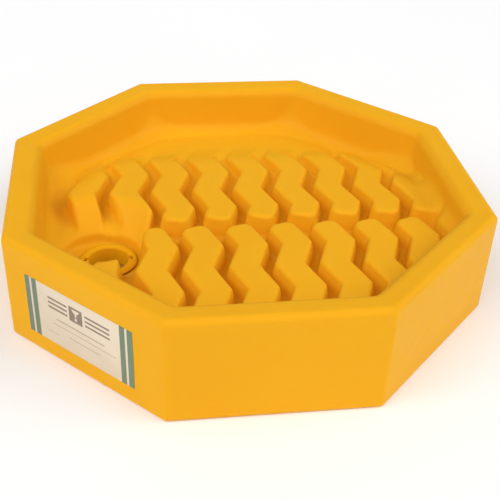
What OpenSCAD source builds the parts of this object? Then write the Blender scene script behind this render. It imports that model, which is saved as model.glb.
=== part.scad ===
// Octagonal drum-top funnel: a moulded tray with zigzag draining ribs, a round
// sump near one corner, a bung spout that turns in the sump and a lift-out strainer.

/* [Body] */
// Width across the flats of the octagon at the rim
flats_w = 660; // [650:2:700]
// Height from the base to the top of the rim
body_h = 156; // [150:1:170]
// Width of the rim's top face
rim_w = 39; // [34:1:44]
// How far each outer wall leans in at the base
outer_draft = 2; // [1:0.5:4]
// How far each inner wall leans in at the tray floor
inner_draft = 11; // [6:1:14]

/* [Tray] */
// Height of the channel floors above the base
floor_z = 80; // [76:1:84]
// Height of the rib tops above the base
rib_z = 111; // [104:1:116]
// Distance from one rib to the next
rib_pitch = 61; // [58:1:66]
// Width of a rib's top
rib_w = 41; // [36:1:46]
// Length of one full zigzag
zigzag_len = 101; // [96:1:106]
// Sideways reach of the zigzag
zigzag_reach = 17.5; // [12:0.5:20]
// Height of the back shelf where the ribs fade out
shelf_z = 98; // [90:1:102]
// Radius that rounds off the foot of the tray's corners
foot_r = 290; // [284:1:304]

/* [Sump] */
// Distance of the drain from the middle of the funnel
drain_offset = 207; // [200:1:215]
// Distance of the sump's middle from the middle of the funnel
sump_offset = 220; // [214:1:224]
// Radius of the sump where it meets the channel floors
sump_r = 66; // [62:1:72]
// Radius of the deeper well inside the sump
well_r = 57; // [56:1:60]
// Height of the well's edge above the base
well_z = 74; // [70:1:78]
// Radius of the well's flat bottom
sump_floor_r = 55; // [54:1:56]
// Height of the well's bottom above the base
sump_z = 60; // [56:1:64]
// Radius about the sump's middle where the front ribs are cut short
front_cut_r = 60; // [56:1:64]
// Radius about the sump's middle where the back ribs' tops start to slope down
ramp_r = 98; // [90:1:104]

/* [Underside] */
// Radius of the round recess that drops over the drum's rim
recess_r = 312; // [308:1:316]
// Height of the recess
recess_h = 38; // [30:1:42]

/* [Spout] */
// Radius of the drain hole through the body
hole_r = 31; // [30.5:0.5:32]
// Outer radius of the bung thread
thread_r = 30.1; // [29.5:0.1:30.4]
// Radius of the spout's bore
bore_r = 23.5; // [21:0.5:24]
// Radius of the spout's top flange
flange_r = 40; // [38:1:41]
// Thickness of the spout's top flange
flange_t = 4; // [3:0.5:5]
// Thickness of the two flat seals at the flange and the bung
seal_t = 2; // [1:0.5:3]
// Height of the spout's open end above the base
spout_end_z = 3; // [2:1:8]

/* [Strainer] */
// Height of the ledge that holds the strainer
ledge_z = 38; // [36:1:44]
// Outer radius of the strainer's mesh cup
cup_r = 22.8; // [20:0.1:23]
// Height of the mesh cup's closed end above the base
cup_end_z = 9; // [8:1:20]
// Wall thickness of the mesh cup
cup_wall = 0.6; // [0.5:0.1:1]
// Radius of the bail's wire
wire_r = 1.25; // [1:0.05:1.4]

/* [Label] */
// Width of the label
label_w = 185; // [160:1:200]
// Height of the label
label_h = 89; // [70:1:96]
// Distance of the label's middle from the middle of its wall
label_shift = -4.8; // [-20:0.1:20]
// Height of the label's middle above the base
label_z = 72.6; // [60:0.1:90]

/* [Hidden] */
$fn = 96;

yellow = [0.93, 0.64, 0.10];
black = [0.12, 0.12, 0.12];
steel = [0.72, 0.72, 0.70];

half_w = flats_w / 2;
inner_top = half_w - rim_w;
inner_low = inner_top - inner_draft;

// Direction of the drain from the middle, over a drum's large bung
drain_angle = 197.7;
drain_x = drain_offset * cos(drain_angle);
drain_y = drain_offset * sin(drain_angle);
// The sump reaches further out, so the drain is off its middle
sump_angle = 198.5;
sump_x = sump_offset * cos(sump_angle);
sump_y = sump_offset * sin(sump_angle);

// Back rank of ribs: first left elbow, number, and ends of each rib's left and right sides
back_x = -253;
back_count = 9;
back_left_y = [-34, 172];
back_right_y = [-47, 172];
// Front rank of ribs, half a pitch over
front_x = back_x + rib_pitch / 2;
front_count = 9;
front_left_y = [-300, -66];
front_right_y = [-300, -53];
// Place along Y of a left elbow
elbow_y = 44;
// The rib tops slope down between these two places along Y
fade_y = [112, 170];
// The channel floors rise between these, to a step below the shelf
rise_y = [20, 110];
shelf_step = 4;
// The shelf dies away at this height along the foot of the walls
shelf_foot_z = 82;
shelf_slope_w = 100;

// Ribs reach down into the sump as far as this height
rib_root_z = 70;

seal_r = flange_r - 1;
play = 0.2;
washer_t = 3;
nut_h = 11;
nut_r = 45;
flange_z = sump_z + seal_t + play;
flange_top = flange_z + flange_t;
washer_z = recess_h - washer_t;
nut_top = washer_z - play;
nut_z = nut_top - nut_h;
journal_r = hole_r - 0.05;
seat_r = bore_r + 4;
bung_seal_t = 3.4;
seal_z = nut_z - bung_seal_t;
// The thread is fuller under the nut and the seal, so that the nut binds on it
neck_r = thread_r + 0.35;

ring_r = seat_r - 0.3;
ring_h = 3;
ring_z = ledge_z + 0.1;
ring_top = ring_z + ring_h;
bail_z = ring_top + wire_r + 0.15;
bail_r = 20;
ear_x = 24.6;
ear_size = [3, 4, 4];

plug_at = [150, 100];
plug_r = 6;
plug_head_r = 9;
plug_head_t = 2;
plug_len = 9;

label_t = 0.4;
wall_lean = atan(outer_draft / body_h);

// Octagon with flat sides facing along X and Y that widens from low to high
module octagon_block(low, high, z0, z1) {
    intersection_for (k = [0:3])
        rotate([90, 0, 45 * k])
            linear_extrude(height = 4 * high, center = true)
                polygon([[-low, z0], [low, z0], [high, z1], [-high, z1]]);
}

// Sideways shift of the zigzag at a place along Y: 0 at left elbows, 1 at right ones
function zigzag(y) =
    let (turn = (y - elbow_y) / zigzag_len, part = turn - floor(turn))
    zigzag_reach * (1 - abs(2 * part - 1));

// Places along Y where the outline bends, between the two ends
function bends(ends) =
    let (half = zigzag_len / 2,
         first = ceil((ends[0] - elbow_y) / half),
         last = floor((ends[1] - elbow_y) / half))
    concat([ends[0]], [for (i = [first:last]) elbow_y + i * half], [ends[1]]);

module zigzag_rib(x, left_ends, right_ends) {
    left_rows = bends(left_ends);
    right_rows = bends(right_ends);
    left = [for (y = left_rows) [x + zigzag(y), y]];
    right = [for (y = right_rows) [x + rib_w + zigzag(y), y]];
    polygon(concat(left, [for (i = [len(right) - 1:-1:0]) right[i]]));
}

module back_rank() {
    for (i = [0:back_count - 1])
        zigzag_rib(back_x + i * rib_pitch, back_left_y, back_right_y);
}

module front_rank() {
    for (i = [0:front_count - 1])
        zigzag_rib(front_x + i * rib_pitch, front_left_y, front_right_y);
}

// Space that the ribs may fill: flat on top, sloping down to the shelf at the back
module rib_envelope() {
    rotate([90, 0, 90])
        linear_extrude(height = flats_w, center = true)
            polygon([
                [-half_w, rib_root_z], [half_w, rib_root_z], [half_w, shelf_z],
                [fade_y[1], shelf_z], [fade_y[0], rib_z], [-half_w, rib_z],
            ]);
}

// Back shelf: rises along the channels, then falls gently to the foot of the walls
module shelf() {
    intersection() {
        rotate([90, 0, 90])
            linear_extrude(height = flats_w, center = true)
                polygon([
                    [rise_y[0], floor_z - 1], [rise_y[0], floor_z],
                    [rise_y[1], shelf_z - shelf_step], [fade_y[1], shelf_z],
                    [half_w, shelf_z], [half_w, floor_z - 1],
                ]);
        octagon_block(inner_low + 4, inner_low - shelf_slope_w, shelf_foot_z - 1, shelf_z);
    }
}

// Octagonal above, with corners that a cone rounds off toward the floor
module tray_pocket() {
    intersection() {
        octagon_block(inner_low, inner_top + 1, floor_z, body_h + 7);
        translate([0, 0, floor_z - 1])
            cylinder(h = body_h - floor_z + 9, r1 = foot_r, r2 = half_w + 10, $fn = 180);
    }
}

module sump_cut() {
    translate([sump_x, sump_y, 0])
        rotate_extrude()
            polygon([
                [0, sump_z], [sump_floor_r, sump_z], [well_r, well_z],
                [sump_r, floor_z], [sump_r, floor_z + 1], [0, floor_z + 1],
            ]);
}

// Conical cut that slopes the back ribs' ends down into the sump
module ramp_cut() {
    translate([sump_x, sump_y, 0])
        rotate_extrude()
            polygon([
                [0, 0], [sump_r - 3, 0], [sump_r - 3, floor_z], [ramp_r, rib_z],
                [ramp_r, body_h], [0, body_h],
            ]);
}

module rib_solids() {
    translate([0, 0, rib_root_z])
        linear_extrude(height = rib_z - rib_root_z)
            intersection() {
                children();
                square(2 * inner_top, center = true);
            }
}

module ribs() {
    intersection() {
        union() {
            difference() {
                rib_solids()
                    back_rank();
                ramp_cut();
            }
            difference() {
                rib_solids()
                    front_rank();
                translate([sump_x, sump_y, 0])
                    cylinder(h = body_h, r = front_cut_r);
            }
        }
        rib_envelope();
        octagon_block(inner_top, inner_top, 0, body_h);
    }
}

module funnel_body() {
    color(yellow)
        difference() {
            union() {
                difference() {
                    octagon_block(half_w - outer_draft, half_w, 0, body_h);
                    tray_pocket();
                    sump_cut();
                }
                ribs();
                shelf();
            }
            translate([0, 0, -1])
                cylinder(h = recess_h + 1, r = recess_r, $fn = 180);
            translate([drain_x, drain_y, 0])
                cylinder(h = body_h, r = hole_r);
            translate([plug_at[0], plug_at[1], 0])
                cylinder(h = recess_h + plug_len, r = plug_r);
        }
}

// Moulder's vent hole stopper in the recess
module vent_plug() {
    color(black)
        translate([plug_at[0], plug_at[1], 0]) {
            translate([0, 0, recess_h])
                cylinder(h = plug_len, r = plug_r);
            translate([0, 0, recess_h - plug_head_t])
                cylinder(h = plug_head_t, r = plug_head_r);
        }
}

module label() {
    color("ivory")
        rotate([0, 0, 225])
            translate([half_w - outer_draft, label_shift, 0])
                rotate([0, wall_lean, 0])
                    translate([0, -label_w / 2, label_z - label_h / 2])
                        cube([label_t, label_w, label_h]);
}

// Flat ring about the drain's axis
module drain_ring(r_in, r_out, z, h) {
    translate([drain_x, drain_y, z])
        difference() {
            cylinder(h = h, r = r_out);
            translate([0, 0, -1])
                cylinder(h = h + 2, r = r_in);
        }
}

module sump_gasket() {
    color(black)
        drain_ring(hole_r + 0.2, seal_r, sump_z, seal_t);
}

module slip_washer() {
    color("white")
        drain_ring(hole_r + 0.2, nut_r - 1, washer_z, washer_t);
}

// Flanged spout: it turns in the drain hole, and its thread screws into the bung
module drain_spout() {
    notch = [6, 8];
    color(yellow)
        translate([drain_x, drain_y, 0])
            difference() {
                rotate_extrude()
                    polygon([
                        [bore_r, spout_end_z], [thread_r, spout_end_z],
                        [thread_r, seal_z], [neck_r, seal_z],
                        [neck_r, nut_top], [journal_r, nut_top],
                        [journal_r, flange_z], [flange_r, flange_z],
                        [flange_r, flange_top], [seat_r, flange_top],
                        [seat_r, ledge_z], [bore_r, ledge_z],
                    ]);
                for (side = [0, 180])
                    rotate([0, 0, side])
                        translate([seat_r - 1, -notch[1] / 2, flange_z])
                            cube([notch[0] + 1, notch[1], flange_t + 1]);
            }
}

module retaining_nut() {
    color(yellow)
        translate([drain_x, drain_y, nut_z])
            difference() {
                cylinder(h = nut_h, r = nut_r, $fn = 6);
                translate([0, 0, -1])
                    cylinder(h = nut_h + 2, r = neck_r + 0.05);
            }
}

module bung_gasket() {
    color(black)
        drain_ring(neck_r + 0.05, seal_r - 1, seal_z, bung_seal_t);
}

module strainer_ring() {
    color(steel)
        translate([drain_x, drain_y, 0])
            difference() {
                union() {
                    translate([0, 0, ring_z])
                        cylinder(h = ring_h, r = ring_r);
                    for (side = [-1, 1])
                        translate([side * ear_x - ear_size[0] / 2, -ear_size[1] / 2, ring_z])
                            cube([ear_size[0], ear_size[1], ring_h + ear_size[2]]);
                }
                translate([0, 0, ring_z - 1])
                    cylinder(h = ring_h + 2, r = cup_r);
                translate([-ring_r, 0, bail_z])
                    rotate([0, 90, 0])
                        cylinder(h = 2 * ring_r, r = wire_r + 0.05);
            }
}

module strainer_cup() {
    color(steel)
        translate([drain_x, drain_y, 0])
            difference() {
                translate([0, 0, cup_end_z])
                    cylinder(h = ring_top - cup_end_z, r = cup_r);
                translate([0, 0, cup_end_z + cup_wall])
                    cylinder(h = ring_top, r = cup_r - cup_wall);
            }
}

// Wire bail, folded flat: a half hoop with its two ends in the ring's ears
module strainer_bail() {
    color(steel)
        translate([drain_x, drain_y, bail_z]) {
            rotate_extrude(angle = 180)
                translate([bail_r, 0])
                    circle(r = wire_r, $fn = 24);
            for (side = [0, 180])
                rotate([0, 0, side])
                    translate([bail_r - wire_r, 0, 0])
                        rotate([0, 90, 0])
                            cylinder(h = ear_x - bail_r + wire_r + 1.5, r = wire_r);
        }
}

funnel_body();
vent_plug();
label();
sump_gasket();
slip_washer();
drain_spout();
retaining_nut();
bung_gasket();
strainer_ring();
strainer_cup();
strainer_bail();
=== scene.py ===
"""Looks for the octagonal drum funnel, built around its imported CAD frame."""
import math

import bmesh
import bpy
import numpy as np
from mathutils import Matrix, Vector


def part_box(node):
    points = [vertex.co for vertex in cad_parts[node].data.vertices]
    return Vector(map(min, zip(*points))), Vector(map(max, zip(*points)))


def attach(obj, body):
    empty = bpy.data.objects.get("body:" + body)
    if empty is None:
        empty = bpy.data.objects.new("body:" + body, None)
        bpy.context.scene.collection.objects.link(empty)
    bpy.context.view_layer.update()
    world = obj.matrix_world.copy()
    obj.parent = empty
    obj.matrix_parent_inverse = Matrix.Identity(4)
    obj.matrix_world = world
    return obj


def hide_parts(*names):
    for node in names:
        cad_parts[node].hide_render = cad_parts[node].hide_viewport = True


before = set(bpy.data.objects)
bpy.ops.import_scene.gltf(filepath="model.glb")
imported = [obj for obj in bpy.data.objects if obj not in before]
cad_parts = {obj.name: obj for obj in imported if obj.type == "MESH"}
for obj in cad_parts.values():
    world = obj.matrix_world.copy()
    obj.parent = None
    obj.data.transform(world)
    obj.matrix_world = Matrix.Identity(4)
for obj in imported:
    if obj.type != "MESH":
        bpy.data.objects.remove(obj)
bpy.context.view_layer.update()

MM = 0.001

# ---------------------------------------------------------------- places from the frame
BODY_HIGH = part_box("funnel_body")[1]
HALF_W = BODY_HIGH.x / MM
TOP_Z = BODY_HIGH.z / MM


def middle(node):
    low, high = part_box(node)
    return (low + high) / 2


DRAIN = Vector((middle("sump_gasket").x, middle("sump_gasket").y, 0))
DRAIN_X, DRAIN_Y = DRAIN.x / MM, DRAIN.y / MM
HOLE_R = 31.0

# ---------------------------------------------------------------- the moulding, in mm
OUTER_DRAFT = 2.0
RIM_W = 39.0
INNER_DRAFT = 11.0
INNER_TOP = HALF_W - RIM_W
INNER_LOW = INNER_TOP - INNER_DRAFT
OUTER_CORNER_R, INNER_CORNER_R = 9.0, 18.0
RIM_OUTER_R, RIM_INNER_R = 9.0, 12.0
RIM_SLOPE = 0.08
BASE_EDGE_R = 6.0
FLOOR_Z, RIB_Z, SHELF_Z, SHELF_FOOT_Z = 80.0, 111.0, 98.0, 82.0
WALL_FOOT_R = 20.0
FOOT_CORNER_R = 250.0

PITCH, ZIGZAG, REACH, ELBOW_Y = 61.0, 101.0, 17.5, 44.0
RIB_W = 41.0
RIB_DRAFT = 0.16
RIB_EDGE_R, RIB_END_R, CHANNEL_R = 4.5, 14.0, 6.0
RIB_COUNT = 9
ELBOW_SHARPNESS = 0.997
BACK_X, BACK_END_Y = -253.0, -40.0
FRONT_X, FRONT_END_Y = BACK_X + PITCH / 2, -59.0

SUMP_OFFSET, SUMP_TURN = 220, math.radians(198.5)
SUMP_X = SUMP_OFFSET * math.cos(SUMP_TURN)
SUMP_Y = SUMP_OFFSET * math.sin(SUMP_TURN)
WELL_R, WELL_FLOOR_R, WELL_Z, SUMP_Z, SUMP_R = 57.0, 55.0, 74.0, 60.0, 66.0
RAMP_R, FRONT_CUT_R = 98.0, 60.0
RECESS_R, RECESS_H = 312.0, 38.0
WARP = 0.15
SHELF_RUN, SHELF_TURN_R, SHELF_CREST = 112.0, 40, 0.02

# Where the floor starts to rise, over what run and how far, then where it meets the shelf
RISE_Y, RISE_RUN, RISE_H = 10, 120, 14
MEET_Y, MEET_RUN = 128, 48
# Where the ribs' tops start to sink straight back and diagonally, and how far they dive
FADE_Y, FADE_RUN = 118, 100
CORNER_FADE, CORNER_FADE_RUN = 200, 104
DIVE = 7
# How far right the lower part of each rank's first rib reaches
FIRST_BACK_LIMIT, FIRST_FRONT_LIMIT = -207, -183
# The front ribs left of here are cut nearer the sump, with a rounder end
NEAR_LEFT_X, NEAR_LEFT_RUN, NEAR_LEFT_REACH, CUT_R = -155, 20, 5, 9
BODY_TRIANGLES = 190000


def round_max(a, b, r):
    """Overlap of two solids' distances, with its outward edge rounded to radius r."""
    u, v = np.maximum(a + r, 0), np.maximum(b + r, 0)
    return np.minimum(np.maximum(a, b), -r) + np.hypot(u, v)


def round_min(a, b, r):
    """Union of two solids' distances, with its inward corner filled to radius r."""
    return -round_max(-a, -b, r)


def ease(t):
    t = np.clip(t, 0, 1)
    return t * t * (3 - 2 * t)


def octagon(along, across, half, corner):
    """Distance to an octagon of half-width half, whose corners are rounded."""
    core = half - corner
    dx = along - core
    dy = np.maximum(across - core * math.tan(math.pi / 8), 0)
    return np.where(dy > 0, np.hypot(dx, dy), dx) - corner


def fold(x, y):
    """A point's distance along, and across, the nearest wall's normal."""
    turn = np.arctan2(y, x)
    turn = np.abs(turn - np.round(turn / (math.pi / 4)) * (math.pi / 4))
    reach = np.hypot(x, y)
    return reach * np.cos(turn), reach * np.sin(turn)


def zigzag(y):
    """Sideways shift of the ribs: 0 at left elbows and REACH at right ones."""
    wave = np.cos((y - ELBOW_Y) * (2 * math.pi / ZIGZAG)) * ELBOW_SHARPNESS
    peak = math.asin(ELBOW_SHARPNESS)
    return REACH * (0.5 - np.arcsin(wave) / (2 * peak))


def rib_rank(x, y, z, top, first_x, end_y, side, first_limit):
    """Distance to one rank of ribs. side is 1 for the rank behind end_y, -1 in front.

    first_limit is the furthest right that the first rib's lower part reaches.
    """
    shift = zigzag(y)
    slope = math.cos(math.atan(2 * REACH / ZIGZAG))
    number = np.clip(np.round((x - shift - first_x - RIB_W / 2) / PITCH), 0, RIB_COUNT - 1)
    centre = first_x + RIB_W / 2 + number * PITCH
    lean = RIB_DRAFT * (z - top)
    flank = (np.abs(x - shift - centre) - RIB_W / 2) * slope + lean
    # The end is square to the rib's last straight stretch
    tilt = math.atan(2 * REACH / ZIGZAG)
    end_x = centre + zigzag(np.array(end_y))
    end = -side * (y - end_y) * math.cos(tilt) - (x - end_x) * math.sin(tilt) + lean
    rib = round_max(flank, end, RIB_END_R)
    limit = x - first_limit + lean - np.maximum(y - ELBOW_Y, 0)
    rib = np.where(number == 0, round_max(rib, limit, RIB_END_R), rib)
    return round_max(rib, z - top, RIB_EDGE_R)


def line_above(rho, z, r0, z0, r1, z1):
    """Height above the cone through two points, each a radius and a height."""
    run, rise = r1 - r0, z1 - z0
    return ((z - z0) * run - (rho - r0) * rise) / math.hypot(run, rise)


def body_distance(x, y, z):
    """Signed distance in mm to the moulded body, negative inside it."""
    along, across = fold(x, y)
    warp = WARP * np.sin(x / 61 + 0.7) * np.sin(y / 67 + 2.1) * np.sin(z / 43 + 0.4)
    rho = np.hypot(x - SUMP_X, y - SUMP_Y)

    half = HALF_W - WARP - OUTER_DRAFT * (1 - z / TOP_Z)
    outer = octagon(along, across, half, OUTER_CORNER_R) + warp
    rim = TOP_Z - RIM_SLOPE * np.maximum(HALF_W - RIM_OUTER_R - along, 0)
    outer = round_max(outer, z - rim, RIM_OUTER_R)
    outer = round_max(outer, -z, BASE_EDGE_R)

    # The tray's corners are round at the foot of its walls and sharper at the rim
    depth = np.clip((TOP_Z - z) / (TOP_Z - SHELF_FOOT_Z), 0, 1)
    corner = INNER_CORNER_R + (FOOT_CORNER_R - INNER_CORNER_R) * depth ** 4
    pocket = octagon(along, across, INNER_LOW + INNER_DRAFT * (z - SHELF_FOOT_Z)
                     / (TOP_Z - SHELF_FOOT_Z), corner) + warp

    diagonal = (np.abs(x) + y) * math.sqrt(0.5)
    from_foot = -round_max(y - INNER_LOW, diagonal - INNER_LOW, SHELF_TURN_R)
    part = np.maximum(from_foot, 0) / SHELF_RUN
    part = (part + 1 - np.sqrt((part - 1) ** 2 + SHELF_CREST)) / 2
    shelf = SHELF_FOOT_Z + (SHELF_Z - SHELF_FOOT_Z) * part
    floor = FLOOR_Z + RISE_H * ease((y - RISE_Y) / RISE_RUN)
    floor = floor + (shelf - floor) * ease((y - MEET_Y) / MEET_RUN)
    fade = np.maximum((y - FADE_Y) / FADE_RUN, (diagonal - CORNER_FADE) / CORNER_FADE_RUN)
    top = RIB_Z + (shelf - DIVE - RIB_Z) * ease(fade)
    deck = round_max(z - floor, line_above(rho, z, WELL_R, WELL_Z, SUMP_R, FLOOR_Z), 8)
    back = rib_rank(x, y, z, top, BACK_X, BACK_END_Y, 1, FIRST_BACK_LIMIT)
    back = round_max(back, line_above(rho, z, SUMP_R - 3, FLOOR_Z, RAMP_R, RIB_Z), 7)
    front = rib_rank(x, y, z, top, FRONT_X, FRONT_END_Y, -1, FIRST_FRONT_LIMIT)
    near_left = ease((NEAR_LEFT_X - x) / NEAR_LEFT_RUN)
    cut = FRONT_CUT_R - NEAR_LEFT_REACH * near_left - rho - RIB_DRAFT * (RIB_Z - z)
    front = round_max(front, cut, CUT_R + CUT_R * near_left)
    tray = round_min(deck, np.minimum(back, front), CHANNEL_R)
    well_side = rho - WELL_FLOOR_R - (WELL_R - WELL_FLOOR_R) * np.clip(
        (z - SUMP_Z) / (WELL_Z - SUMP_Z), 0, 1)
    well = round_max(well_side, SUMP_Z - z, 3)
    tray = round_max(tray, -well, 4)

    inside = round_min(-pocket, tray, WALL_FOOT_R)
    solid = round_max(outer, inside, RIM_INNER_R)
    recess = round_max(np.hypot(x, y) - RECESS_R, z - RECESS_H, 5)
    solid = round_max(solid, -recess, 4)
    return round_max(solid, HOLE_R - np.hypot(x - DRAIN_X, y - DRAIN_Y), 1)


def body_slope(points, step=0.05):
    """Gradient of body_distance at an array of points."""
    slope = np.empty_like(points)
    for axis in range(3):
        shift = np.zeros(3)
        shift[axis] = step
        ahead, behind = points + shift, points - shift
        slope[:, axis] = (body_distance(*ahead.T) - body_distance(*behind.T)) / (2 * step)
    return slope


def settle(points, rounds=4):
    """Moves points onto the body's surface."""
    for _ in range(rounds):
        slope = body_slope(points)
        size = np.maximum((slope ** 2).sum(1), 0.2)
        move = -(body_distance(*points.T) / size)[:, None] * slope
        points = points + np.clip(move, -1.5, 1.5)
    return points


def surface_net(xs, ys, zs):
    """Vertices and quads where body_distance changes sign on a grid."""
    field = body_distance(xs[:, None, None], ys[None, :, None], zs[None, None, :])
    field = np.broadcast_to(field, (len(xs), len(ys), len(zs)))
    inside = field < 0
    cells = tuple(n - 1 for n in field.shape)
    total = np.zeros(cells + (3,))
    count = np.zeros(cells)
    axes = (xs, ys, zs)
    edges = []
    for axis in range(3):
        low = [slice(None)] * 3
        high = [slice(None)] * 3
        low[axis], high[axis] = slice(None, -1), slice(1, None)
        a, b = field[tuple(low)], field[tuple(high)]
        cross = inside[tuple(low)] != inside[tuple(high)]
        where = np.argwhere(cross)
        fa, fb = a[cross], b[cross]
        part = fa / (fa - fb)
        spot = np.stack([axes[k][where[:, k]] for k in range(3)], 1).astype(float)
        gap = np.diff(axes[axis])[where[:, axis]]
        spot[:, axis] += part * gap
        others = [k for k in range(3) if k != axis]
        ring = []
        for da, db in ((0, 0), (1, 0), (1, 1), (0, 1)):
            cell = where.copy()
            cell[:, others[0]] -= da
            cell[:, others[1]] -= db
            np.add.at(total, tuple(cell.T), spot)
            np.add.at(count, tuple(cell.T), 1)
            ring.append(np.ravel_multi_index(tuple(cell.T), cells))
        ring = np.stack(ring, 1)
        flip = (fa < 0) == (axis == 1)
        ring[flip] = ring[flip][:, ::-1]
        edges.append(ring)
    used = count.ravel() > 0
    number = np.cumsum(used) - 1
    points = total.reshape(-1, 3)[used] / count.ravel()[used][:, None]
    return points, number[np.concatenate(edges)]


def levels(*stretches):
    """Grid heights: each stretch is (start, end, step)."""
    out = [np.arange(a, b - 1e-6, step) for a, b, step in stretches]
    return np.concatenate(out + [np.array([stretches[-1][1]])])


def mesh_object(name, points, faces, smooth=True):
    mesh = bpy.data.meshes.new(name)
    mesh.from_pydata([tuple(p) for p in points], [], [tuple(f) for f in faces])
    mesh.update()
    mesh.validate()
    if smooth:
        mesh.shade_smooth()
    obj = bpy.data.objects.new(name, mesh)
    bpy.context.scene.collection.objects.link(obj)
    return obj


def apply_modifiers(obj):
    """Turns an object's modifiers into plain mesh."""
    graph = bpy.context.evaluated_depsgraph_get()
    mesh = bpy.data.meshes.new_from_object(obj.evaluated_get(graph))
    old = obj.data
    obj.modifiers.clear()
    obj.data = mesh
    mesh.name = obj.name
    bpy.data.meshes.remove(old)


def make_body():
    step = 2.4
    span = HALF_W + 3.3
    flat = np.arange(-span, span + step, step) + 0.013
    z_levels = levels((-2.9, 8, step), (8, 30, 5.5), (30, 60, step), (60, 68, 4),
                      (68, 116, step), (116, 138, 5.5), (138, TOP_Z + 3, step))
    points, quads = surface_net(flat, flat, z_levels)
    points = settle(points)
    obj = mesh_object("moulded_body", points * MM, quads)
    triangles = 2 * len(quads)
    thin = obj.modifiers.new("thin", "DECIMATE")
    thin.ratio = min(1.0, BODY_TRIANGLES / triangles)
    thin.use_collapse_triangulate = True
    apply_modifiers(obj)
    count = len(obj.data.vertices)
    place = np.empty(count * 3)
    obj.data.vertices.foreach_get("co", place)
    place = settle(place.reshape(-1, 3) / MM, 2) * MM
    obj.data.vertices.foreach_set("co", place.ravel())
    obj.data.update()
    obj.data.shade_smooth()
    weigh = obj.modifiers.new("weigh", "WEIGHTED_NORMAL")
    weigh.mode = "FACE_AREA_WITH_ANGLE"
    weigh.weight = 60
    weigh.keep_sharp = False
    apply_modifiers(obj)
    return obj


# ---------------------------------------------------------------- materials
def new_material(name, colour, roughness, metallic=0.0, specular=0.5):
    mat = bpy.data.materials.new(name)
    mat.use_nodes = True
    shader = mat.node_tree.nodes["Principled BSDF"]
    shader.inputs["Base Color"].default_value = (*colour, 1)
    shader.inputs["Roughness"].default_value = roughness
    shader.inputs["Metallic"].default_value = metallic
    shader.inputs["Specular IOR Level"].default_value = specular
    return mat, mat.node_tree, shader


def noise(tree, scale, detail=2.0, where="Object"):
    coords = tree.nodes.new("ShaderNodeTexCoord")
    tex = tree.nodes.new("ShaderNodeTexNoise")
    tex.inputs["Scale"].default_value = scale
    tex.inputs["Detail"].default_value = detail
    tree.links.new(coords.outputs[where], tex.inputs["Vector"])
    return tex


def add_bump(tree, shader, sources):
    """sources is a list of (noise scale, detail, height in metres)."""
    last = None
    for scale, detail, height in sources:
        tex = noise(tree, scale, detail)
        bump = tree.nodes.new("ShaderNodeBump")
        bump.inputs["Strength"].default_value = 1.0
        bump.inputs["Distance"].default_value = height
        tree.links.new(tex.outputs["Fac"], bump.inputs["Height"])
        if last:
            tree.links.new(last.outputs["Normal"], bump.inputs["Normal"])
        last = bump
    tree.links.new(last.outputs["Normal"], shader.inputs["Normal"])


def vary(tree, shader, socket, tex, low, high):
    """Drives a colour or a value from a noise, between low and high."""
    ramp = tree.nodes.new("ShaderNodeValToRGB")
    for stop, level, colour in zip(ramp.color_ramp.elements, (0.35, 0.65), (low, high)):
        stop.position = level
        stop.color = (*colour, 1)
    tree.links.new(tex.outputs["Fac"], ramp.inputs["Fac"])
    tree.links.new(ramp.outputs["Color"], shader.inputs[socket])


def moulded_plastic(name, colour, roughness=0.42):
    mat, tree, shader = new_material(name, colour, roughness, specular=0.06)
    shader.inputs["Subsurface Weight"].default_value = 0.4
    shader.inputs["Subsurface Radius"].default_value = (1.0, 0.5, 0.1)
    shader.inputs["Subsurface Scale"].default_value = 0.006
    deep = tuple(c * k for c, k in zip(colour, (0.98, 0.96, 0.9)))
    vary(tree, shader, "Base Color", noise(tree, 7.0, 4.0), deep, colour)
    vary(tree, shader, "Roughness", noise(tree, 60.0, 3.0),
         (roughness - 0.05,) * 3, (roughness + 0.05,) * 3)
    add_bump(tree, shader, [(9.0, 1.0, 0.0009), (420.0, 2.0, 0.00005)])
    return mat


YELLOW = (0.85, 0.415, 0.012)
body_plastic = moulded_plastic("body_plastic", YELLOW)
spout_plastic = moulded_plastic("spout_plastic", (0.84, 0.41, 0.005), 0.36)
nut_plastic = moulded_plastic("nut_plastic", (0.84, 0.41, 0.006), 0.4)


def speckled(name, colour, roughness, metallic=0.0, specular=0.4, scale=120.0, bump=0.00004):
    """A material whose colour, roughness and height all vary a little."""
    mat, tree, shader = new_material(name, colour, roughness, metallic, specular)
    vary(tree, shader, "Base Color", noise(tree, scale, 3.0),
         tuple(c * 0.82 for c in colour), tuple(min(c * 1.08, 1) for c in colour))
    vary(tree, shader, "Roughness", noise(tree, scale * 0.6, 2.0),
         (max(roughness - 0.07, 0.05),) * 3, (min(roughness + 0.07, 1),) * 3)
    add_bump(tree, shader, [(scale * 4, 2.0, bump)])
    return mat


rubber = speckled("black_rubber", (0.024, 0.024, 0.025), 0.68)
plug_rubber = speckled("plug_rubber", (0.035, 0.033, 0.032), 0.6)
washer_plastic = speckled("washer_plastic", (0.78, 0.78, 0.75), 0.42)
ring_steel = speckled("ring_steel", (0.6, 0.6, 0.58), 0.3, 1.0, 0.5, 300.0, 0.00001)
mesh_steel = speckled("mesh_steel", (0.52, 0.52, 0.5), 0.36, 1.0, 0.5, 500.0, 0.00001)
bail_steel = speckled("bail_steel", (0.62, 0.62, 0.6), 0.24, 1.0, 0.5, 400.0, 0.00001)


def use(obj, mat, slot, body, *nodes):
    obj.data.materials.clear()
    obj.data.materials.append(mat)
    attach(obj, body)
    if nodes:
        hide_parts(*nodes)


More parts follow.
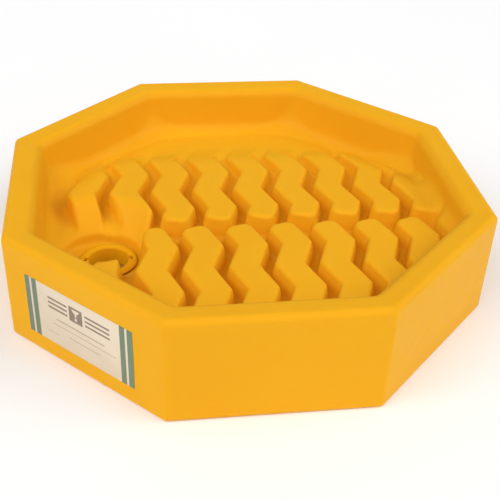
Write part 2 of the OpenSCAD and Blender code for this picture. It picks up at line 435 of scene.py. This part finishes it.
# ---------------------------------------------------------------- turned and bent pieces
def soften(outline, radii, steps=3):
    """Rounds the corners of a closed outline of points, each to its own radius."""
    out = []
    count = len(outline)
    for i, radius in enumerate(radii):
        here = Vector(outline[i])
        before = (Vector(outline[i - 1]) - here).normalized()
        after = (Vector(outline[(i + 1) % count]) - here).normalized()
        if radius <= 0:
            out.append(tuple(here))
            continue
        for k in range(steps + 1):
            t = k / steps
            out.append(tuple(here + before * radius * (1 - t) ** 2 + after * radius * t ** 2))
    return out


def turned(outline, segments, reach=None, closed=True):
    """Spins an outline of (radius, height) about the drain's axis.

    reach, if given, changes each point's radius from its angle and height.
    """
    rows = len(outline)
    points = []
    for radius, height in outline:
        for k in range(segments):
            angle = 2 * math.pi * k / segments
            r = reach(radius, height, angle) if reach else radius
            points.append((DRAIN_X + r * math.cos(angle), DRAIN_Y + r * math.sin(angle),
                           height))
    faces = []
    for row in range(rows if closed else rows - 1):
        after = (row + 1) % rows
        for k in range(segments):
            on = (k + 1) % segments
            faces.append((row * segments + k, after * segments + k,
                          after * segments + on, row * segments + on))
    return points, faces


def tube(path, radius, sides=8, loop=False):
    """A round wire along a path; its ends are capped unless it is a loop."""
    path = np.array(path, float)
    if loop:
        along = np.roll(path, -1, 0) - np.roll(path, 1, 0)
    else:
        along = np.gradient(path, axis=0)
    along /= np.linalg.norm(along, axis=1)[:, None]
    flat = np.abs(along).mean(0)
    guide = np.zeros(3)
    guide[int(np.argmin(flat))] = 1.0
    side = np.cross(along, guide)
    side /= np.linalg.norm(side, axis=1)[:, None]
    up = np.cross(side, along)
    turn = np.arange(sides) * 2 * math.pi / sides
    points = (path[:, None] + radius * (np.cos(turn)[None, :, None] * side[:, None]
                                        + np.sin(turn)[None, :, None] * up[:, None]))
    rows = len(path)
    faces = []
    for row in range(rows if loop else rows - 1):
        after = (row + 1) % rows
        for k in range(sides):
            on = (k + 1) % sides
            faces.append((row * sides + k, row * sides + on, after * sides + on,
                          after * sides + k))
    if not loop:
        faces.append(tuple(range(sides - 1, -1, -1)))
        faces.append(tuple((rows - 1) * sides + k for k in range(sides)))
    return points.reshape(-1, 3).tolist(), faces


def piece(name, *parts):
    """One object from several (points in mm, faces) parts, with its faces turned outward."""
    points, faces = [], []
    for part_points, part_faces in parts:
        base = len(points)
        points += list(part_points)
        faces += [tuple(i + base for i in face) for face in part_faces]
    obj = mesh_object(name, np.array(points, float) * MM, faces)
    mesh = bmesh.new()
    mesh.from_mesh(obj.data)
    bmesh.ops.recalc_face_normals(mesh, faces=mesh.faces)
    mesh.to_mesh(obj.data)
    mesh.free()
    return obj


def crease(obj, degrees=38):
    """Keeps sharp edges sharp under smooth shading."""
    obj.data.set_sharp_from_angle(angle=math.radians(degrees))
    return obj


def heights(node):
    """A node's lowest and highest heights and half its width, in mm."""
    low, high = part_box(node)
    return low.z / MM, high.z / MM, (high.x - low.x) / 2 / MM


SEGMENTS = 96
NECK_R, THREAD_R, BORE_R, SEAT_R, LEDGE_Z = 30.45, 30.1, 23.5, 27.5, 38.0
THREAD_PITCH, THREAD_DEPTH = 2.2, 1.25


def flat_ring(name, node, inner, edge):
    low, high, outer = heights(node)
    edge = min(edge, (high - low) / 2 - 0.05)
    outline = [(inner, low), (outer, low), (outer, high), (inner, high)]
    return crease(piece(name, turned(soften(outline, [edge] * 4), SEGMENTS)), 50)


THREAD_LOW, THREAD_TOP = heights("drain_spout")[0], heights("bung_gasket")[0]


def thread(radius, height, angle):
    """A screw thread's radius, for points that lie on its crest's cylinder."""
    low, top = THREAD_LOW, THREAD_TOP
    if radius < THREAD_R - 0.01 or height > top - 0.3:
        return radius
    turn = (height / THREAD_PITCH - angle / (2 * math.pi)) % 1
    tooth = min(1, max(0, 1.5 - 3.4 * abs(turn - 0.5)))
    start = min(1, (height - low) / 2.5)
    end = min(1, (top - height) / 1.6)
    return radius - THREAD_DEPTH * (1 - tooth * start) * end


def make_spout():
    low, high, flange_r = heights("drain_spout")
    seal_low = heights("bung_gasket")[0]
    nut_high = heights("retaining_nut")[1]
    flange_z = heights("sump_gasket")[1] + 0.2
    rows = [(THREAD_R, z) for z in np.arange(low + 0.6, seal_low, 0.3)]
    outline = ([(BORE_R + 0.5, low), (THREAD_R - 1.4, low)] + rows
               + [(THREAD_R, seal_low - 0.02), (NECK_R, seal_low), (NECK_R, nut_high),
                  (HOLE_R - 0.05, nut_high + 0.1), (HOLE_R - 0.05, flange_z),
                  (flange_r - 0.4, flange_z), (flange_r, flange_z + 0.3),
                  (flange_r, high - 3.0), (flange_r - 0.8, high - 1.8),
                  (flange_r - 2.6, high - 0.8), (flange_r - 5.0, high - 0.2),
                  (flange_r - 7.0, high), (SEAT_R + 3.6, high - 0.1),
                  (SEAT_R + 1.6, high - 0.7), (SEAT_R + 0.4, high - 1.8), (SEAT_R, high - 3.2),
                  (SEAT_R, LEDGE_Z + 0.3), (SEAT_R - 0.3, LEDGE_Z), (BORE_R + 0.6, LEDGE_Z),
                  (BORE_R, LEDGE_Z - 0.6), (BORE_R, low + 0.5)])
    spout = piece("drain_spout_turned", turned(outline, SEGMENTS, thread))
    for side in (-1, 1):
        x = DRAIN_X + side * (SEAT_R + 2.5)
        spots = [(x + i * 3.5, DRAIN_Y + j * 4, flange_z + k * 6) for i in (-1, 1)
                 for j in (-1, 1) for k in (0, 1)]
        cutter = piece("cutter", (spots, [(0, 1, 3, 2), (4, 6, 7, 5), (0, 4, 5, 1),
                                          (2, 3, 7, 6), (0, 2, 6, 4), (1, 5, 7, 3)]))
        cut = spout.modifiers.new("notch", "BOOLEAN")
        cut.operation = "DIFFERENCE"
        cut.solver = "EXACT"
        cut.object = cutter
        apply_modifiers(spout)
        bpy.data.objects.remove(cutter)
    use(crease(spout, 40), spout_plastic, "spout", "spout", "drain_spout")


def make_nut():
    low, high, reach = heights("retaining_nut")

    def hexagon(radius, height, angle):
        if radius < NECK_R + 5:
            return radius
        side = (angle + math.pi / 6) % (math.pi / 3) - math.pi / 6
        return min(radius, reach * math.cos(math.pi / 6) / math.cos(math.pi / 6 - abs(side)))

    flat = reach * math.cos(math.pi / 6)
    outline = [(NECK_R + 1.1, low), (flat - 1.2, low), (flat + 1.2, low + 0.6),
               (reach - 1.6, low + 1.8), (reach, low + 2.8), (reach, high - 2.8),
               (reach - 1.6, high - 1.8), (flat + 1.2, high - 0.6), (flat - 1.2, high),
               (NECK_R + 1.1, high), (NECK_R + 0.06, high - 1), (NECK_R + 0.06, low + 1)]
    nut = piece("retaining_nut_hex", turned(outline, SEGMENTS, hexagon))
    use(crease(nut, 25), nut_plastic, "nut", "spout", "retaining_nut")


def make_plug():
    """Vent plug: a domed head with a barbed stem; its axis is not the drain's."""
    low, high, head_r = heights("vent_plug")
    spot = middle("vent_plug") / MM
    stem = low + 2.0
    outline = [(0.6, low), (head_r * 0.6, low + 0.12), (head_r - 1.2, low + 0.6),
               (head_r, low + 1.4), (head_r - 0.3, stem), (4.6, stem), (4.6, stem + 1.2),
               (6.0, stem + 1.6), (5.0, stem + 3.6), (6.0, stem + 4.0), (5.0, stem + 6.0),
               (5.9, stem + 6.4), (4.4, high), (0.6, high)]
    points, faces = turned(outline, 48, closed=False)
    points = [(x - DRAIN_X + spot.x, y - DRAIN_Y + spot.y, z) for x, y, z in points]
    faces += [tuple(range(48)), tuple((len(outline) - 1) * 48 + k for k in range(48))]
    use(crease(piece("vent_plug_barbed", (points, faces)), 40), plug_rubber, "plug",
        "funnel", "vent_plug")


CUP_R, WEAVE, MESH_WIRE_R = 22.8, 0.12, 0.16
BAIL_R, EAR_X, WIRE_R = 20.0, 24.6, 1.25


def make_strainer_ring():
    low, high, outer = heights("strainer_ring")
    top = low + 3
    axis = middle("strainer_bail").z / MM
    edge = [0.5] * 4
    ring = turned(soften([(CUP_R, low), (outer, low), (outer, top), (CUP_R, top)], edge),
                  SEGMENTS)
    ears = []
    turns = [2 * math.pi * (k + 0.5) / 24 for k in range(24)]
    for side in (-1, 1):
        points = []
        for x in (-1.5, 1.5):
            for loop in (0, 1):
                for turn in turns:
                    c, s = math.cos(turn), math.sin(turn)
                    if loop:
                        y, z = WIRE_R * 1.05 * c, axis + WIRE_R * 1.05 * s
                    elif s > 0:
                        y, z = 2.0 * c, high - 2.0 + 2.0 * s
                    else:
                        y, z = max(-2, min(2, 3 * c)), max(low + 1, axis + 4 * s)
                    points.append((DRAIN_X + side * EAR_X + x, DRAIN_Y + y, z))
        faces = []
        for k in range(24):
            on = (k + 1) % 24
            for a, b in ((0, 24), (24, 72), (72, 48), (48, 0)):
                faces.append((a + k, a + on, b + on, b + k))
        ears.append((points, faces))
    use(crease(piece("strainer_ring_eared", ring, *ears)), ring_steel, "steel", "strainer",
        "strainer_ring")


def make_cup():
    """The strainer's cup, woven from wires, with a plain band where the ring grips it."""
    low, high, _ = heights("strainer_cup")
    around = 60
    centre_r = CUP_R - WEAVE - MESH_WIRE_R
    floor = low + WEAVE + MESH_WIRE_R
    gap = 2 * math.pi * centre_r / around
    rows = int((high - 3 - floor) / gap)
    parts = [turned(soften([(CUP_R - 0.6, high - 4), (CUP_R, high - 4), (CUP_R, high),
                            (CUP_R - 0.6, high)], [0.1] * 4), SEGMENTS)]
    for k in range(around):
        angle = 2 * math.pi * k / around
        path = []
        for i in range(rows * 2 + 2):
            z = floor + gap * i / 2
            r = centre_r + WEAVE * math.cos(math.pi * (i / 2 + k))
            path.append((DRAIN_X + r * math.cos(angle), DRAIN_Y + r * math.sin(angle),
                         min(z, high - 2)))
        parts.append(tube(path, MESH_WIRE_R, 5))
    for i in range(rows + 1):
        path = []
        for k in range(around * 2):
            angle = math.pi * k / around
            r = centre_r - WEAVE * math.cos(math.pi * (k / 2 + i))
            path.append((DRAIN_X + r * math.cos(angle), DRAIN_Y + r * math.sin(angle),
                         floor + gap * i))
        parts.append(tube(path, MESH_WIRE_R, 5, loop=True))
    across = int(centre_r / gap)
    for i in range(-across, across + 1):
        half = math.sqrt(centre_r ** 2 - (i * gap) ** 2)
        steps = max(2, int(half / gap * 2))
        for swap in (0, 1):
            path = []
            for k in range(-steps, steps + 1):
                a, b = half * k / steps, i * gap
                lift = WEAVE * math.cos(math.pi * (a / gap + i)) * (1 - 2 * swap)
                spot = (b, a) if swap else (a, b)
                path.append((DRAIN_X + spot[0], DRAIN_Y + spot[1], floor + lift))
            parts.append(tube(path, MESH_WIRE_R, 5))
    use(piece("strainer_cup_woven", *parts), mesh_steel, "mesh", "strainer",
        "strainer_cup")


def make_bail():
    """A bent wire: a half hoop whose two ends turn out through the ring's ears."""
    axis = middle("strainer_bail").z / MM
    reach = heights("strainer_bail")[2]
    bend = 2.6
    path = [(reach, 0), (reach - 0.3, 0), (BAIL_R + bend, 0)]
    for k in range(1, 6):
        t = k / 6
        path.append((BAIL_R + bend * (1 - t) ** 2, bend * t ** 2))
    first = math.asin(bend / BAIL_R)
    for k in range(33):
        angle = first + (math.pi - 2 * first) * k / 32
        path.append((BAIL_R * math.cos(angle), BAIL_R * math.sin(angle)))
    for x, y in reversed(path[:8]):
        path.append((-x, y))
    path = [(DRAIN_X + x, DRAIN_Y + y, axis) for x, y in path]
    use(crease(piece("strainer_bail_bent", tube(path, WIRE_R - 0.01, 14)), 60), bail_steel,
        "wire", "bail", "strainer_bail")


# ---------------------------------------------------------------- label
LABEL_W, LABEL_H, LABEL_T, LABEL_CORNER = 185.0, 89.0, 0.4, 1.5
PAPER = (0.81, 0.68, 0.52)
GREEN = (0.17, 0.235, 0.15)
INK = (0.13, 0.085, 0.05)


class Print:
    """Builds shapes for a label's print, in mm across and up its face."""

    def __init__(self, tree):
        self.tree = tree
        coords = tree.nodes.new("ShaderNodeTexCoord")
        split = tree.nodes.new("ShaderNodeSeparateXYZ")
        tree.links.new(coords.outputs["Object"], split.inputs[0])
        self.x = self.math("MULTIPLY", split.outputs["Y"], 1000.0)
        self.y = self.math("MULTIPLY", split.outputs["Z"], 1000.0)

    def math(self, kind, *values):
        node = self.tree.nodes.new("ShaderNodeMath")
        node.operation = kind
        for socket, value in zip(node.inputs, values):
            if isinstance(value, (int, float)):
                socket.default_value = value
            else:
                self.tree.links.new(value, socket)
        return node.outputs[0]

    def within(self, value, middle_at, half):
        return self.math("COMPARE", value, middle_at, half)

    def block(self, x, y, half_w, half_h):
        return self.math("MULTIPLY", self.within(self.x, x, half_w),
                         self.within(self.y, y, half_h))

    def wedge(self, x, y, half_h, half_w, lean):
        """A block whose sides lean: half_w wide at its middle."""
        off = self.math("ABSOLUTE", self.math("SUBTRACT", self.x, x))
        width = self.math("MULTIPLY_ADD", self.y, lean, half_w - y * lean)
        return self.math("MULTIPLY", self.math("LESS_THAN", off, width),
                         self.within(self.y, y, half_h))

    def disc(self, x, y, radius):
        dx = self.math("SUBTRACT", self.x, x)
        dy = self.math("SUBTRACT", self.y, y)
        far = self.math("MULTIPLY_ADD", dx, dx, self.math("MULTIPLY", dy, dy))
        return self.math("LESS_THAN", far, radius ** 2)

    def joined(self, *shapes):
        whole = shapes[0]
        for shape in shapes[1:]:
            whole = self.math("MAXIMUM", whole, shape)
        return whole

    def without(self, shape, hole):
        return self.math("MULTIPLY", shape, self.math("SUBTRACT", 1.0, hole))

    def paint(self, under, colour, mask, strength=1.0):
        """Lays a colour over another colour or socket where mask is 1."""
        mix = self.tree.nodes.new("ShaderNodeMix")
        mix.data_type = "RGBA"
        self.tree.links.new(self.math("MULTIPLY", mask, strength), mix.inputs[0])
        self.tree.links.new(under, mix.inputs[6])
        mix.inputs[7].default_value = (*colour, 1)
        return mix.outputs[2]


def label_film():
    """Cream film with two stripes at each end, a funnel sign and plain bars."""
    mat, tree, shader = new_material("label_film", PAPER, 0.45, specular=0.3)
    art = Print(tree)
    vary(tree, shader, "Base Color", noise(tree, 30.0, 3.0),
         tuple(c * 0.97 for c in PAPER), PAPER)
    colour = shader.inputs["Base Color"].links[0].from_socket
    stripes = art.joined(*[art.within(art.x, side * (LABEL_W / 2 - at), 4.4)
                           for side in (-1, 1) for at in (4.4, 16.6)])
    colour = art.paint(colour, GREEN, stripes)
    sign = art.block(-3, 21, 11.5, 11.5)
    funnel = art.joined(art.wedge(-3, 26.5, 2.8, 5.2, 0.75), art.block(-3, 21.4, 1.3, 2.6),
                        art.disc(-3, 14.6, 2.1), art.wedge(-3, 16.6, 1.6, 1.2, -0.7))
    sign = art.without(sign, funnel)
    bars = [art.block(-35, y, 17, 1.5) for y in (28, 21, 14)]
    bars += [art.block(34, y, 21, 1.5) for y in (28, 21, 14)]
    colour = art.paint(colour, INK, art.joined(sign, *bars), 0.8)
    faint = art.joined(art.block(3, -1.5, 42, 1.3), art.block(9, -10.5, 55, 0.7),
                       art.block(9, -21, 28, 0.7), art.block(-47, -27, 10, 0.5))
    colour = art.paint(colour, (0.36, 0.27, 0.19), faint, 0.6)
    tree.links.new(colour, shader.inputs["Base Color"])
    vary(tree, shader, "Roughness", noise(tree, 200.0, 2.0), (0.4,) * 3, (0.5,) * 3)
    add_bump(tree, shader, [(60.0, 2.0, 0.00003)])
    return mat


def make_label():
    half_w, half_h = LABEL_W / 2, LABEL_H / 2
    outline = soften([(-half_w, -half_h), (half_w, -half_h), (half_w, half_h),
                      (-half_w, half_h)], [LABEL_CORNER] * 4, 5)
    count = len(outline)
    inset = [(y * (1 - 0.15 / half_w), z * (1 - 0.15 / half_h)) for y, z in outline]
    points = [(-LABEL_T / 2, y, z) for y, z in outline]
    points += [(LABEL_T / 2 - 0.12, y, z) for y, z in outline]
    points += [(LABEL_T / 2, y, z) for y, z in inset]
    faces = [tuple(range(count - 1, -1, -1)), tuple(range(2 * count, 3 * count))]
    for row in (0, count):
        faces += [(row + k, row + (k + 1) % count, row + count + (k + 1) % count,
                   row + count + k) for k in range(count)]
    label = crease(piece("label_film_piece", (points, faces)))
    lean = math.atan(OUTER_DRAFT / TOP_Z)
    label.matrix_world = (Matrix.Translation(middle("label"))
                          @ Matrix.Rotation(math.radians(225), 4, "Z")
                          @ Matrix.Rotation(lean, 4, "Y"))
    use(label, label_film(), "label", "funnel", "label")


use(make_body(), body_plastic, "body", "funnel", "funnel_body")
use(flat_ring("sump_gasket_ring", "sump_gasket", HOLE_R + 0.2, 0.5), rubber, "seal",
    "funnel", "sump_gasket")
use(flat_ring("slip_washer_ring", "slip_washer", HOLE_R + 0.2, 0.4), washer_plastic,
    "washer", "funnel", "slip_washer")
use(flat_ring("bung_gasket_ring", "bung_gasket", NECK_R + 0.05, 0.8), rubber, "seal",
    "spout", "bung_gasket")
make_plug()
make_spout()
make_nut()
make_strainer_ring()
make_cup()
make_bail()
make_label()

# ---------------------------------------------------------------- stage
def make_stage():
    floor = mesh_object("floor", [(-20, -20, 0), (20, -20, 0), (20, 20, 0), (-20, 20, 0)],
                        [(0, 1, 2, 3)], smooth=False)
    mat, tree, shader = new_material("floor_paint", (0.97, 0.97, 0.97), 0.9, specular=0.1)
    vary(tree, shader, "Base Color", noise(tree, 1.5), (0.965,) * 3, (0.975,) * 3)
    floor.data.materials.append(mat)


def soft_light(name, turn, rise, strength):
    """A broad studio light from a direction in degrees: turn from +X, and rise."""
    turn, rise = math.radians(turn), math.radians(rise)
    toward = Vector((math.cos(turn) * math.cos(rise), math.sin(turn) * math.cos(rise),
                     math.sin(rise)))
    data = bpy.data.lights.new(name, "SUN")
    data.energy = strength * math.pi
    data.angle = math.radians(45)
    lamp = bpy.data.objects.new(name, data)
    lamp.location = toward * 3
    lamp.rotation_euler = toward.to_track_quat("Z", "Y").to_euler()
    bpy.context.scene.collection.objects.link(lamp)


def make_lights():
    world = bpy.data.worlds.new("studio")
    world.use_nodes = True
    world.node_tree.nodes["Background"].inputs["Color"].default_value = (1, 1, 1, 1)
    world.node_tree.nodes["Background"].inputs["Strength"].default_value = 0.32
    bpy.context.scene.world = world
    soft_light("key", 204, 46, 0.38)
    soft_light("front_fill", 262, 44, 0.29)
    soft_light("right_fill", 346, 38, 0.38)


def make_camera():
    """Camera at the view's angle: turned, raised and rolled about the rim's middle."""
    turn, rise, roll = (math.radians(a) for a in (-9.20, 33.76, 2.51))
    reach = 0.35719
    away, right_shift, up_shift = 3.792 * reach, 0.021 * reach, -0.3 * reach
    back = Vector((math.sin(turn) * math.cos(rise), -math.cos(turn) * math.cos(rise),
                   math.sin(rise)))
    right = Vector((math.cos(turn), math.sin(turn), 0))
    up = back.cross(right)
    right, up = (right * math.cos(roll) + up * math.sin(roll),
                 up * math.cos(roll) - right * math.sin(roll))
    data = bpy.data.cameras.new("camera")
    data.sensor_width = 36
    data.lens = 68.4
    data.clip_end = 50
    camera = bpy.data.objects.new("camera", data)
    place = (Vector((0, 0, BODY_HIGH.z)) + back * away + right * right_shift
             + up * up_shift)
    axes = Matrix((right, up, back)).transposed().to_4x4()
    camera.matrix_world = Matrix.Translation(place) @ axes
    bpy.context.scene.collection.objects.link(camera)
    bpy.context.scene.camera = camera
    bpy.context.scene.view_settings.view_transform = "Standard"


make_stage()
make_lights()
make_camera()
